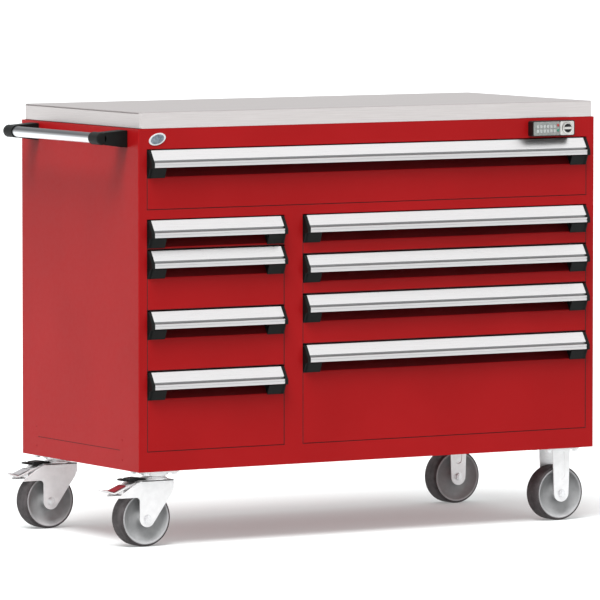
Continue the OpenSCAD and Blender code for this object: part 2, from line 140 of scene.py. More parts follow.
# turns a closed outline of (radius, along) round an axle that lies along Y; merge is how near two points become one
def spinOutline(name, outline, middle, steps=72, merge=0.00001):
    spots = [Vector((middle.x + radius, middle.y + along, middle.z)) for radius, along in outline]
    piece = drawLine(name, spots + [spots[0]])
    bpy.ops.mesh.remove_doubles(threshold=merge)
    bpy.ops.mesh.spin(steps=steps, angle=2 * math.pi, center=middle, axis=(0, 1, 0))
    bpy.ops.mesh.select_all(action="SELECT")
    bpy.ops.mesh.remove_doubles(threshold=merge)
    bpy.ops.mesh.normals_make_consistent(inside=False)
    leaveEdit()
    return piece


# replaces sharp corners of an outline with arcs; a corner is (a, b) or (a, b, radius)
def roundCorners(corners, steps=4):
    outline = []
    count = len(corners)
    for i, corner in enumerate(corners):
        here = Vector(corner[:2])
        if len(corner) < 3:
            outline.append(tuple(here))
            continue
        before = Vector(corners[i - 1][:2]) - here
        after = Vector(corners[(i + 1) % count][:2]) - here
        half = before.angle(after) / 2
        reach = corner[2] / math.tan(half)
        first, last = here + before.normalized() * reach, here + after.normalized() * reach
        halfway = (before.normalized() + after.normalized()).normalized()
        middle = here + halfway * corner[2] / math.sin(half)
        for k in range(steps + 1):
            spoke = first.lerp(last, k / steps) - middle
            outline.append(tuple(middle + spoke.normalized() * corner[2]))
    return outline


def applyModifier(piece, kind, **values):
    pick(piece)
    modifier = piece.modifiers.new(kind.title(), kind)
    for name, value in values.items():
        setattr(modifier, name, value)
    bpy.ops.object.modifier_apply(modifier=modifier.name)


def bevelEdges(piece, width, segments=2, angle=30):
    applyModifier(piece, "BEVEL", width=width, segments=segments, limit_method="ANGLE",
                  angle_limit=math.radians(angle), miter_outer="MITER_ARC")
    smoothFlat(piece)


# smooth round the bevels, level on the flats
def smoothFlat(piece, angle=50):
    pick(piece)
    bpy.ops.object.shade_smooth_by_angle(angle=math.radians(angle))
    applyModifier(piece, "WEIGHTED_NORMAL", keep_sharp=True, weight=80)


def bevelChosen(piece, test, width, segments=4):
    editEdges(piece, test)
    bpy.ops.mesh.bevel(offset=width, segments=segments, affect="EDGES", clamp_overlap=True)
    leaveEdit()


def joinPieces(name, pieces):
    pick(pieces[0])
    for piece in pieces[1:]:
        piece.select_set(True)
    if len(pieces) > 1:
        bpy.ops.object.join()
    bpy.context.object.name = name
    return bpy.context.object


def copyPiece(piece, name, shift=(0, 0, 0)):
    pick(piece)
    bpy.ops.object.duplicate(linked=False)
    twin = bpy.context.object
    twin.name = name
    bpy.ops.transform.translate(value=shift)
    bpy.ops.object.transform_apply(location=True, rotation=True, scale=True)
    return twin


# mirror across the plane where one coordinate has the given value
def mirrorCopy(piece, name, axis, at):
    twin = copyPiece(piece, name)
    scale = [1, 1, 1]
    scale["XYZ".index(axis)] = -1
    shift = [0, 0, 0]
    shift["XYZ".index(axis)] = 2 * at
    pick(twin)
    twin.scale = scale
    twin.location = shift
    bpy.ops.object.transform_apply(location=True, rotation=True, scale=True)
    editFaces(twin, lambda centre, normal: True)
    bpy.ops.mesh.normals_make_consistent(inside=False)
    leaveEdit()
    smoothFlat(twin)
    return twin


def finishPiece(piece, name, body, finish, replaced=()):
    piece.name = name
    piece.data.name = name
    piece.data.materials.clear()
    piece.data.materials.append(finish.material)
    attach(piece, body)
    if replaced:
        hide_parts(*replaced)
    return piece


# finishes
class Finish:
    # slot is the CAD material that the finish stands for
    def __init__(self, name, slot=None, metallic=0.0, gloss=0.5):
        self.slot = slot
        self.material = bpy.data.materials.new(name)
        self.material.use_nodes = True
        self.nodes = self.material.node_tree.nodes
        self.links = self.material.node_tree.links
        self.shader = self.nodes["Principled BSDF"]
        self.shader.inputs["Metallic"].default_value = metallic
        self.shader.inputs["Specular IOR Level"].default_value = gloss
        self.place = self.nodes.new("ShaderNodeTexCoord").outputs["Object"]

    # noise of the given size in metres, drawn out along an axis by stretch
    def grain(self, size, detail=2.0, stretch=(1, 1, 1)):
        mapping = self.nodes.new("ShaderNodeMapping")
        mapping.inputs["Scale"].default_value = [1 / (size * s) for s in stretch]
        noise = self.nodes.new("ShaderNodeTexNoise")
        noise.inputs["Scale"].default_value = 1.0
        noise.inputs["Detail"].default_value = detail
        self.links.new(self.place, mapping.inputs["Vector"])
        self.links.new(mapping.outputs["Vector"], noise.inputs["Vector"])
        return noise.outputs["Fac"]

    # runs from 0 to 1 between two heights above the floor
    def height(self, low, high):
        split = self.nodes.new("ShaderNodeSeparateXYZ")
        span = self.nodes.new("ShaderNodeMapRange")
        span.inputs["From Min"].default_value = low
        span.inputs["From Max"].default_value = high
        self.links.new(self.place, split.inputs[0])
        self.links.new(split.outputs["Z"], span.inputs["Value"])
        return span.outputs["Result"]

    def blend(self, factor, first, second):
        mix = self.nodes.new("ShaderNodeMix")
        mix.data_type = "FLOAT"
        for source, socket in ((factor, 0), (first, 2), (second, 3)):
            if isinstance(source, (int, float)):
                mix.inputs[socket].default_value = source
            else:
                self.links.new(source, mix.inputs[socket])
        return mix.outputs[0]

    # brushed grain that runs along X, but along Y on the faces that look sideways
    def brushed(self, size, length):
        alongX = self.grain(size, 3.0, (length, 1, 1))
        alongY = self.grain(size, 3.0, (1, length, 1))
        face = self.nodes.new("ShaderNodeNewGeometry")
        split = self.nodes.new("ShaderNodeSeparateXYZ")
        sideways = self.nodes.new("ShaderNodeMath")
        sideways.operation = "ABSOLUTE"
        self.links.new(face.outputs["Normal"], split.inputs[0])
        self.links.new(split.outputs["X"], sideways.inputs[0])
        return self.blend(sideways.outputs[0], alongX, alongY)

    def colour(self, factor, low, high, edges=(0.35, 0.65)):
        ramp = self.nodes.new("ShaderNodeValToRGB")
        for stop, edge, tint in zip(ramp.color_ramp.elements, edges, (low, high)):
            stop.position = edge
            stop.color = (*tint, 1)
        self.links.new(factor, ramp.inputs["Fac"])
        self.links.new(ramp.outputs["Color"], self.shader.inputs["Base Color"])

    def roughness(self, factor, low, high):
        span = self.nodes.new("ShaderNodeMapRange")
        for socket, value in (("From Min", 0.3), ("From Max", 0.7), ("To Min", low), ("To Max", high)):
            span.inputs[socket].default_value = value
        self.links.new(factor, span.inputs["Value"])
        self.links.new(span.outputs["Result"], self.shader.inputs["Roughness"])

    def bump(self, factor, depth, strength=0.5):
        bump = self.nodes.new("ShaderNodeBump")
        bump.inputs["Strength"].default_value = strength
        bump.inputs["Distance"].default_value = depth
        self.links.new(factor, bump.inputs["Height"])
        self.links.new(bump.outputs["Normal"], self.shader.inputs["Normal"])


# each colour is given by the two ends of its variation over a surface; peel is the size of the coat's ripple in metres;
# shadeLow and shadeHigh are painted shade
paint = {"low": (0.415, 0.0078, 0.0095), "high": (0.455, 0.0093, 0.0115), "peel": 0.0016,
         "shadeLow": (0.085, 0.0022, 0.0030), "shadeHigh": (0.110, 0.0030, 0.0040)}
redPaint = Finish("red powder coat", "red_paint", gloss=0.12)
redPaint.colour(redPaint.grain(0.30, 3.0), paint["low"], paint["high"])
redPaint.roughness(redPaint.grain(0.012, 2.0), 0.30, 0.40)
redPaint.bump(redPaint.grain(paint["peel"], 1.5), 0.00004, 0.35)

# painted shade: a dark red that stands for shade, used in the recess under each pull and along the side seams
paintedShadeRed = Finish("recess paint", "red_paint", gloss=0.10)
paintedShadeRed.colour(paintedShadeRed.grain(0.30, 3.0), paint["shadeLow"], paint["shadeHigh"])
paintedShadeRed.roughness(paintedShadeRed.grain(0.012, 2.0), 0.34, 0.44)
paintedShadeRed.bump(paintedShadeRed.grain(paint["peel"], 1.5), 0.00004, 0.35)

steelTop = Finish("brushed stainless", "stainless", metallic=1.0)
steelGrain = steelTop.brushed(0.0011, 90)
steelTop.colour(steelGrain, (0.56, 0.520, 0.515), (0.64, 0.600, 0.595))
steelTop.roughness(steelGrain, 0.30, 0.42)
steelTop.bump(steelGrain, 0.00003, 0.3)

pullMetal = Finish("brushed aluminium", "aluminium", metallic=1.0)
pullGrain = pullMetal.grain(0.0008, 3.0, (120, 1, 1))
pullMetal.colour(pullGrain, (0.89, 0.885, 0.89), (0.95, 0.945, 0.95))
pullMetal.roughness(pullGrain, 0.26, 0.38)
pullMetal.bump(pullGrain, 0.00002, 0.3)

# painted shade: a darker copy of the pull's aluminium for the lip, standing for the dimmer light its faces catch
lipPaintedShade = Finish("aluminium lip", "aluminium", metallic=1.0)
lipGrain = lipPaintedShade.grain(0.0008, 3.0, (120, 1, 1))
lipPaintedShade.colour(lipGrain, (0.54, 0.525, 0.53), (0.62, 0.605, 0.61))
lipPaintedShade.roughness(lipGrain, 0.28, 0.40)
lipPaintedShade.bump(lipGrain, 0.00002, 0.3)

# painted shade: a dark copy of the aluminium in the pull's groove, standing for the shade inside it
groovePaintedShade = Finish("aluminium groove", "aluminium", metallic=0.8)
grooveGrain = groovePaintedShade.grain(0.0008, 3.0, (120, 1, 1))
groovePaintedShade.colour(grooveGrain, (0.28, 0.28, 0.285), (0.36, 0.36, 0.365))
groovePaintedShade.roughness(grooveGrain, 0.40, 0.55)
groovePaintedShade.bump(grooveGrain, 0.00002, 0.3)

barPaintedShade = Finish("satin tube", "satin_aluminium", metallic=1.0)
barGrain = barPaintedShade.grain(0.0012, 3.0, (1, 60, 1))
# painted shade: the tube's colour darkens from its underside up to its top, standing for the shade over its upper half
barPaintedShade.colour(barPaintedShade.height(1.137, 1.167), (0.80, 0.81, 0.83), (0.15, 0.155, 0.165), (0.44, 0.74))
barPaintedShade.roughness(barGrain, 0.30, 0.40)
barPaintedShade.bump(barGrain, 0.00002, 0.3)

blackPlastic = Finish("black moulded plastic", "black_plastic", gloss=0.14)
blackPlastic.colour(blackPlastic.grain(0.05, 3.0), (0.0050, 0.0058, 0.0056), (0.0085, 0.0098, 0.0094))
blackPlastic.roughness(blackPlastic.grain(0.004), 0.45, 0.58)
blackPlastic.bump(blackPlastic.grain(0.0009, 1.0), 0.00005, 0.4)

darkPlastic = Finish("dark lever plastic", "black_plastic", gloss=0.25)
darkPlastic.colour(darkPlastic.grain(0.02, 3.0), (0.0045, 0.0045, 0.0050), (0.0090, 0.0090, 0.0095))
darkPlastic.roughness(darkPlastic.grain(0.003), 0.35, 0.50)
darkPlastic.bump(darkPlastic.grain(0.0008, 1.0), 0.00004, 0.4)

nickelMetal = Finish("satin nickel", "nickel", metallic=1.0)
nickelMetal.colour(nickelMetal.grain(0.006, 3.0), (0.52, 0.51, 0.49), (0.64, 0.63, 0.61))
nickelMetal.roughness(nickelMetal.grain(0.002), 0.22, 0.34)
nickelMetal.bump(nickelMetal.grain(0.0010, 1.0), 0.00002, 0.3)

zincPlate = Finish("bright zinc", "zinc", metallic=0.55)
zincPlate.colour(zincPlate.grain(0.018, 4.0), (0.88, 0.875, 0.88), (0.94, 0.935, 0.94))
zincPlate.roughness(zincPlate.grain(0.012, 2.0), 0.34, 0.42)
zincPlate.bump(zincPlate.grain(0.0014, 2.0), 0.00001, 0.3)

boltZinc = Finish("zinc nuts", "zinc", metallic=0.85)
boltZinc.colour(boltZinc.grain(0.004, 3.0), (0.74, 0.74, 0.75), (0.86, 0.86, 0.87))
boltZinc.roughness(boltZinc.grain(0.002, 2.0), 0.28, 0.42)
boltZinc.bump(boltZinc.grain(0.0010, 1.0), 0.00002, 0.3)

keyMetal = Finish("keypad plate metal", "zinc", metallic=0.8)
keyMetal.colour(keyMetal.grain(0.003, 3.0), (0.22, 0.225, 0.22), (0.34, 0.35, 0.34))
keyMetal.roughness(keyMetal.grain(0.002), 0.30, 0.42)
keyMetal.bump(keyMetal.grain(0.0010, 1.0), 0.00002, 0.3)

keyFace = Finish("key faces", "zinc", metallic=0.3)
keyFace.colour(keyFace.grain(0.004, 3.0), (0.42, 0.44, 0.43), (0.60, 0.62, 0.61))
keyFace.roughness(keyFace.grain(0.002), 0.30, 0.42)
keyFace.bump(keyFace.grain(0.0010, 1.0), 0.00002, 0.3)

slideSteel = Finish("slide steel", "slide_steel", metallic=1.0)
slideGrain = slideSteel.grain(0.0012, 3.0, (1, 50, 1))
slideSteel.colour(slideGrain, (0.55, 0.56, 0.57), (0.66, 0.67, 0.68))
slideSteel.roughness(slideGrain, 0.28, 0.42)
slideSteel.bump(slideGrain, 0.00002, 0.3)

tyreRubber = Finish("grey tyre", "tyre_rubber", gloss=0.3)
tyreRubber.colour(tyreRubber.grain(0.02, 4.0), (0.066, 0.058, 0.060), (0.104, 0.093, 0.096))
tyreRubber.roughness(tyreRubber.grain(0.006, 3.0), 0.55, 0.75)
tyreRubber.bump(tyreRubber.grain(0.0012, 2.0), 0.00008, 0.5)

wheelPlastic = Finish("wheel centre", "wheel_core_plastic", gloss=0.45)
wheelPlastic.colour(wheelPlastic.grain(0.03, 4.0), (0.37, 0.375, 0.38), (0.45, 0.455, 0.46))
wheelPlastic.roughness(wheelPlastic.grain(0.005, 2.0), 0.35, 0.50)
wheelPlastic.bump(wheelPlastic.grain(0.0011, 1.0), 0.00004, 0.4)

rimPlastic = Finish("wheel rim ring", "wheel_core_plastic", gloss=0.45)
rimPlastic.colour(rimPlastic.grain(0.03, 4.0), (0.46, 0.46, 0.47), (0.56, 0.56, 0.57))
rimPlastic.roughness(rimPlastic.grain(0.005, 2.0), 0.35, 0.50)
rimPlastic.bump(rimPlastic.grain(0.0011, 1.0), 0.00004, 0.4)

badgeRim = Finish("badge rim", "badge_plastic", gloss=0.5)
badgeRim.colour(badgeRim.grain(0.004, 3.0), (0.72, 0.74, 0.77), (0.86, 0.88, 0.90))
badgeRim.roughness(badgeRim.grain(0.003), 0.20, 0.32)
badgeRim.bump(badgeRim.grain(0.0012, 1.0), 0.00002, 0.3)

badgeFace = Finish("badge face", "badge_plastic", gloss=0.5)
badgeFace.colour(badgeFace.grain(0.008, 3.0), (0.12, 0.16, 0.20), (0.26, 0.32, 0.38))
badgeFace.roughness(badgeFace.grain(0.003), 0.20, 0.34)
badgeFace.bump(badgeFace.grain(0.0012, 1.0), 0.00002, 0.3)

redLamp = Finish("red lamp", "nickel", gloss=0.6)
redLamp.colour(redLamp.grain(0.002, 2.0), (0.35, 0.02, 0.02), (0.48, 0.04, 0.03))
redLamp.roughness(redLamp.grain(0.002), 0.15, 0.30)
redLamp.bump(redLamp.grain(0.0008, 1.0), 0.00001, 0.3)

greenLamp = Finish("green lamp", "nickel", gloss=0.6)
greenLamp.colour(greenLamp.grain(0.002, 2.0), (0.02, 0.20, 0.12), (0.05, 0.30, 0.19))
greenLamp.roughness(greenLamp.grain(0.002), 0.15, 0.30)
greenLamp.bump(greenLamp.grain(0.0008, 1.0), 0.00001, 0.3)

pedalRed = Finish("pedal insert", "zinc", gloss=0.4)
pedalRed.colour(pedalRed.grain(0.01, 3.0), (0.15, 0.012, 0.018), (0.22, 0.02, 0.028))
pedalRed.roughness(pedalRed.grain(0.003), 0.35, 0.50)
pedalRed.bump(pedalRed.grain(0.0010, 1.0), 0.00003, 0.4)

pedalGrey = Finish("pedal insert grey", "zinc", gloss=0.4)
pedalGrey.colour(pedalGrey.grain(0.01, 3.0), (0.22, 0.22, 0.23), (0.32, 0.32, 0.33))
pedalGrey.roughness(pedalGrey.grain(0.003), 0.35, 0.50)
pedalGrey.bump(pedalGrey.grain(0.0010, 1.0), 0.00003, 0.4)

print("finishes ready")


# housing: the CAD panels keep their shape
keptNodes = [
    (redPaint, ["left_side", "right_side", "back_panel", "base_pan", "front_frame", "centre_partition"]),
    (slideSteel, ["slide_rails", "lock_bar"] + [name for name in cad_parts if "_slides" in name]),
    (boltZinc, ["caster_bolts"])]
for finish, names in keptNodes:
    for name in names:
        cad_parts[name].data.materials.clear()
        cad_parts[name].data.materials.append(finish.material)

leftX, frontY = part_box("left_side")[0].x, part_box("left_side")[0].y
rightX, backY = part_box("right_side")[1].x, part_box("left_side")[1].y
print("housing dressed")


# worktop
worktop = {"cornerRadius": 0.009, "edgeRadius": 0.0016, "seamDrop": 0.0020, "seamHeight": 0.0030,
           "seamDepth": 0.0060, "seamFromFront": 0.012}


def makeWorktop():
    low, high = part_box("worktop")
    top = addBlock("worktop_sheet", low, high)
    bevelChosen(top, lambda a, b: abs(a.z - b.z) > 0.01, worktop["cornerRadius"], 6)
    bevelEdges(top, worktop["edgeRadius"], 3, 50)
    seamTop = high.z - worktop["seamDrop"]
    seamFoot = seamTop - worktop["seamHeight"]
    seamStart = low.y + worktop["seamFromFront"]
    cuts = [((0, 0, seamTop), (0, 0, 1)), ((0, 0, seamFoot), (0, 0, 1)), ((0, seamStart, 0), (0, 1, 0))]
    for cutPlace, cutFacing in cuts:
        editFaces(top, lambda centre, normal: True)
        bpy.ops.mesh.bisect(plane_co=cutPlace, plane_no=cutFacing)
        leaveEdit()
    # the open hem under the top sheet, along both short sides
    for side in (-1, 1):
        editFaces(top, lambda centre, normal: normal.x * side > 0.99 and seamFoot < centre.z < seamTop
                  and centre.y > seamStart)
        bpy.ops.mesh.extrude_region_move(TRANSFORM_OT_translate={"value": (-side * worktop["seamDepth"], 0, 0)})
        leaveEdit()
    smoothFlat(top)
    finishPiece(top, "worktop_sheet", "cabinet", steelTop, ["worktop"])


makeWorktop()
print("worktop done")


# drawers
drawer = {"sheet": 0.0012, "recess": 0.020, "recessTop": 0.050, "recessFoot": 0.082, "bendRadius": 0.0030,
          "foldRadius": 0.0015, "footRadius": 0.0012, "edgeRadius": 0.0011, "backTop": 0.006, "footGap": 0.0016,
          "sideGap": 0.0023, "slotTopDrop": 0.003}
tray = {"slideRoom": 0.014, "lift": 0.006, "drop": 0.012, "depth": 0.600, "cornerRadius": 0.002, "foldRadius": 0.003}
rail = {"start": 0.025, "length": 0.590}
# dark strips of painted shade in the gaps round each front
gapPaintedShade = {"sink": 0.0002, "thickness": 0.003, "play": 0.0002, "lift": 0.0001, "drop": 0.004, "stripPlay": 0.0003,
        "edge": 0.0003}
pull = {"capWidth": 0.010, "footWidth": 0.055, "capRadius": 0.0016, "capOverlap": 0.0004, "linerInset": 0.0005}
# cross-sections of the pull, millimetres behind the front plane and above the slot's top
pullOutline = [(20, -3.5), (-1, -3.5, 0.8), (-18.9, -30.4, 0.8), (-18.2, -31.4, 0.4), (0, -6), (18, -6), (18, -34),
               (20, -34)]
grooveOutline = [(-16.5, -30.0), (-15.6, -37.4), (-12.5, -37.4), (-13, -26)]
lipOutline = [(-15, -36.9), (-22.5, -36.9), (-24, -37.8, 0.8), (-24, -42.6, 0.3), (-22.7, -42.9), (-22.7, -44.1),
              (-24, -44.4, 0.3), (-24, -51.8, 1.4), (-20.5, -51.8, 0.5), (-20.5, -41), (-15, -39)]
# a liner in painted shade: a darker paint that stands for the deep shade in the recess under the pull
recessPaintedShadeOutline = [(1.9, -78.8), (19.7, -50.4), (19.4, -50.2), (1.6, -78.6)]
capOutline = [(20, -3.0), (-2, -3.0, 1.5), (-20, -31.5, 3), (-25, -39, 3), (-25, -53.8, 1.5), (-13, -53.8),
              (-0.6, -82, 1.0), (0, -82), (20, -50)]
footOutline = [(-13, -53.8, 1.0), (-0.6, -82, 1.0), (0, -82), (17.6, -53.8)]
# a C-shaped slide member, millimetres inwards from the slot's side and above the tray's middle
railOutline = [(12.4, -20), (14.0, -20), (14.0, 20), (12.4, 20), (12.4, 16.2), (5, 16.2), (5, 14.2), (12.4, 14.2),
               (12.4, -14.2), (5, -14.2), (5, -16.2), (12.4, -16.2)]

slots = {}
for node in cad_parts:
    if "_pull" in node:
        low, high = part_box(node)
        drawerNode = node.replace("pull", "drawer")
        slots[drawerNode] = {"pull": node, "left": low.x, "right": high.x, "top": high.z + drawer["slotTopDrop"],
                             "foot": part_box(drawerNode)[0].z - drawer["footGap"]}


def metres(outline, slot):
    scaled = [tuple(v / 1000 for v in corner) for corner in outline]
    return [(frontY + c[0], slot["top"] + c[1]) for c in roundCorners(scaled)]


def makeFront(name, slot):
    foot, top = slot["foot"] + drawer["footGap"], slot["top"]
    inner, outer = drawer["recess"], drawer["recess"] + drawer["sheet"]
    folded = [(0, foot, drawer["footRadius"]), (0, top - drawer["recessFoot"], drawer["bendRadius"]),
              (inner, top - drawer["recessTop"], drawer["foldRadius"]), (inner, top - drawer["backTop"]),
              (outer, top - drawer["backTop"]), (outer, foot)]
    outline = [(frontY + a, b) for a, b in roundCorners(folded)]
    front = sweepOutline(name, outline, "X", slot["left"], slot["right"] - slot["left"])
    bevelEdges(front, drawer["edgeRadius"], 2, 45)
    return front


def makeTray(name, slot):
    room = tray["slideRoom"] - drawer["sideGap"]
    near = frontY + drawer["recess"]
    low = Vector((slot["left"] + room, near + drawer["sheet"], slot["foot"] + tray["lift"]))
    high = Vector((slot["right"] - room, near + tray["depth"], slot["top"] - tray["drop"]))
    box = addBlock(name, low, high)
    bevelChosen(box, lambda a, b: abs(a.z - b.z) > 0.01, tray["cornerRadius"], 2)
    editFaces(box, lambda centre, normal: normal.z > 0.9)
    bpy.ops.mesh.inset(thickness=drawer["sheet"])
    depth = high.z - low.z - drawer["sheet"]
    bpy.ops.mesh.extrude_region_move(TRANSFORM_OT_translate={"value": (0, 0, -depth)})
    leaveEdit()
    # fold round the foot of the tray's inside
    bevelChosen(box, lambda a, b: abs(a.z - b.z) < 0.0001 and abs(a.z - low.z) < drawer["sheet"] + 0.0002
                and a.z > low.z + 0.0005, tray["foldRadius"], 2)
    smoothFlat(box)
    return box


# a slide member on each side of the tray
def makeRails(name, slot):
    middle = (slot["foot"] + tray["lift"] + slot["top"] - tray["drop"]) / 2
    rails = []
    for side, edge in ((1, slot["left"] - drawer["sideGap"]), (-1, slot["right"] + drawer["sideGap"])):
        outline = [(edge + side * a / 1000, middle + b / 1000) for a, b in railOutline]
        rails.append(sweepOutline(name, outline, "Y", frontY + rail["start"], rail["length"]))
    rails = joinPieces(name, rails)
    smoothFlat(rails, 30)
    return rails


# a strip of the given section that runs between the two end caps
def makeStrip(name, slot, outline, inset):
    length = slot["right"] - slot["left"] - 2 * inset
    strip = sweepOutline(name, metres(outline, slot), "X", slot["left"] + inset, length)
    smoothFlat(strip, 40)
    return strip


# painted shade: dark strips in the gap round the drawer's front, at both sides and below, standing for the shadow in
# the gap
def makeGapPaintedShade(name, slot):
    foot, top = slot["foot"] + gapPaintedShade["lift"], slot["top"] - gapPaintedShade["drop"]
    near = frontY + gapPaintedShade["sink"]
    far = near + gapPaintedShade["thickness"]
    sides = []
    for edge, side in ((slot["left"], -1), (slot["right"], 1)):
        outer = edge + side * (drawer["sideGap"] - gapPaintedShade["play"])
        sides.append(addBlock(name, (min(edge, outer), near, foot), (max(edge, outer), far, top)))
    stripTop = foot + drawer["footGap"] - gapPaintedShade["stripPlay"]
    sides.append(addBlock(name, (slot["left"], near, foot), (slot["right"], far, stripTop)))
    for part in sides:
        bevelEdges(part, gapPaintedShade["edge"], 1, 40)
    return joinPieces(name, sides)


def makeCap(name, slot, side):
    overlap = pull["capWidth"] * 0.5
    plateStart, footStart = slot["left"], slot["left"] + overlap
    if side == "right":
        plateStart, footStart = slot["right"] - pull["capWidth"], slot["right"] - pull["footWidth"]
    cheek = sweepOutline(name, metres(capOutline, slot), "X", plateStart, pull["capWidth"])
    foot = sweepOutline(name, metres(footOutline, slot), "X", footStart, pull["footWidth"] - overlap)
    for part in (cheek, foot):
        bevelEdges(part, pull["capRadius"], 2, 40)
    return joinPieces(name, [cheek, foot])


stripInset = pull["capWidth"] - pull["capOverlap"]
for drawerNode, slot in slots.items():
    front, profile = [drawerNode], [slot["pull"]]
    pieces = [
        (makeFront(drawerNode + "_front", slot), "_front", redPaint, front),
        (makeTray(drawerNode + "_tray", slot), "_tray", redPaint, front),
        (makeRails(drawerNode + "_rails", slot), "_rails", slideSteel, front),
        (makeGapPaintedShade(drawerNode + "_seal", slot), "_seal", darkPlastic, front),
        (makeStrip(drawerNode + "_liner", slot, recessPaintedShadeOutline, pull["linerInset"]), "_liner", paintedShadeRed, front),
        (makeStrip(drawerNode + "_pull", slot, pullOutline, stripInset), "_pull", pullMetal, profile),
        (makeStrip(drawerNode + "_groove", slot, grooveOutline, stripInset), "_groove", groovePaintedShade, profile),
        (makeStrip(drawerNode + "_lip", slot, lipOutline, stripInset), "_lip", lipPaintedShade, profile),
        (makeCap(drawerNode + "_cap_left", slot, "left"), "_cap_left", blackPlastic, profile),
        (makeCap(drawerNode + "_cap_right", slot, "right"), "_cap_right", blackPlastic, profile)]
    for piece, ending, finish, replaced in pieces:
        finishPiece(piece, drawerNode + ending, drawerNode, finish, replaced)
print("drawers done:", len(slots))


# places given in millimetres from the left face, the front plane and the floor
def spot(x, y, z):
    return Vector((leftX + x / 1000, frontY + y / 1000, z / 1000))


def plate(name, corners, x, z, y, depth):
    outline = [(leftX + (x + a) / 1000, (z + b) / 1000) for a, b in roundCorners(corners)]
    return sweepOutline(name, outline, "Y", frontY + y / 1000, depth / 1000)


def turned(name, outline, x, y, z, steps=72):
    return spinOutline(name, [(radius / 1000, along / 1000) for radius, along in outline], spot(x, y, z), steps)


def disc(name, x, y, low, high, radius, sides=48):
    return addRod(name, spot(x, y, (low + high) / 2), radius / 1000, (high - low) / 1000, "Z", sides)


def block(name, low, high):
    return addBlock(name, spot(*low), spot(*high))


def arcSpots(x, z, radius, start, end, steps):
    angles = [math.radians(start + (end - start) * i / steps) for i in range(steps + 1)]
    return [(x + radius * math.cos(angle), z + radius * math.sin(angle)) for angle in angles]


def boxCorners(width, height, radius):
    return [(0, 0, radius), (width, 0, radius), (width, height, radius), (0, height, radius)]


# takes the shape of the cutter out of the piece
def cutAway(piece, cutter):
    applyModifier(piece, "BOOLEAN", operation="DIFFERENCE", solver="EXACT", object=cutter)
    bpy.data.objects.remove(cutter)


# push bar
# x, y and z are millimetres from the left face, the front plane and the floor
pushBar = {"x": -79, "z": 1152, "radius": 15, "from": 76, "to": 610, "ring": 0.5, "ringFrom": 38, "ringTo": 41.6}
bracket = {"start": 62, "width": 44, "collar": 56, "radius": 18, "wall": 2.8, "floor": 14, "bevel": 0.0022}


def makePushBar():
    r, ring, start, end = (pushBar[key] for key in ("radius", "ring", "ringFrom", "ringTo"))
    length = pushBar["to"] - pushBar["from"]
    chamfer = 0.6
    outline = [(r - 2, 0), (r - chamfer, 0), (r, chamfer), (r, start), (r - ring, start + chamfer),
               (r - ring, end - chamfer), (r, end), (r, length - end), (r - ring, length - end + chamfer),
               (r - ring, length - start - chamfer), (r, length - start), (r, length - chamfer),
               (r - chamfer, length), (r - 2, length)]
    tube = turned("push_bar_tube", outline, pushBar["x"], pushBar["from"], pushBar["z"], 64)
    smoothFlat(tube, 30)
    finishPiece(tube, "push_bar_tube", "cabinet", barPaintedShade, ["push_bar"])


def makeBracket():
    z = pushBar["z"]
    armOutline = [(0, z - 26), (0, z + 22), (-10, z + 22, 8), (-75, z + 17), (-75, z - 17), (-10, z - 26, 8)]
    arm = plate("bracket_arm", armOutline, 0, 0, bracket["start"], bracket["width"])
    bevelEdges(arm, bracket["bevel"], 3, 40)
    r, length = bracket["radius"], bracket["collar"]
    inside = r - bracket["wall"]
    collarOutline = [(0, 0), (r - 7, 0), (r - 4, 0.9), (r - 1.6, 3), (r, 7), (r, length - 1.5), (r - 1, length),
                     (inside + 0.2, length), (inside, length - 1), (inside, bracket["floor"]), (0, bracket["floor"])]
    collar = turned("bracket_collar", collarOutline, pushBar["x"], bracket["start"], z, 64)
    smoothFlat(collar, 40)
    front = joinPieces("front_bracket", [arm, collar])
    rear = mirrorCopy(front, "rear_bracket", "Y", (frontY + backY) / 2)
    finishPiece(front, "front_bracket", "cabinet", blackPlastic, ["push_bar_brackets"])
    finishPiece(rear, "rear_bracket", "cabinet", blackPlastic, ["push_bar_brackets"])


makePushBar()
makeBracket()
print("push bar done")


# lock and badge
lock = {"x": 1295, "z": 1150, "width": 145, "height": 44, "depth": 26, "edge": 2, "padWidth": 90, "padHeight": 40,
        "knobX": 1414, "seatStart": 94, "seatWidth": 48}
keypad = {"columns": 6, "rows": (-12, 1), "pitch": 11.6, "start": 12, "width": 8, "height": 9, "depth": 1.4,
          "corner": 2, "lampX": 86, "lampRadius": 4.2, "lampZ": (8.5, -6)}
badge = {"x": 60, "halfWidth": 26, "halfHeight": 17.5, "slant": 0.45, "faceShare": 0.78, "points": 48}


# parts of the lock with the soft edge that they share
def lockPlate(name, corners, x, z, y, depth, edge=0.0006, segments=2):
    part = plate(name, corners, x, z, y, depth)
    bevelEdges(part, edge, segments, 40)
    return part


def makeKeys():
    keys = []
    for i in range(keypad["columns"]):
        for row in keypad["rows"]:
            keyX = lock["x"] + keypad["start"] + i * keypad["pitch"]
            corners = boxCorners(keypad["width"], keypad["height"], keypad["corner"])
            keys.append(lockPlate("key", corners, keyX, lock["z"] + row, -29, keypad["depth"], 0.0005))
    return keys


def makeLamps():
    r = keypad["lampRadius"]
    dome = [(0, -1), (r * 0.5, -0.85), (r * 0.85, -0.45), (r, 0), (r, 1), (0, 1)]
    lamps = []
    for name, height in zip(("red_lamp", "green_lamp"), keypad["lampZ"]):
        lamps.append(turned(name, dome, lock["x"] + keypad["lampX"], -28, lock["z"] + height, 32))
        smoothFlat(lamps[-1], 60)
    return lamps


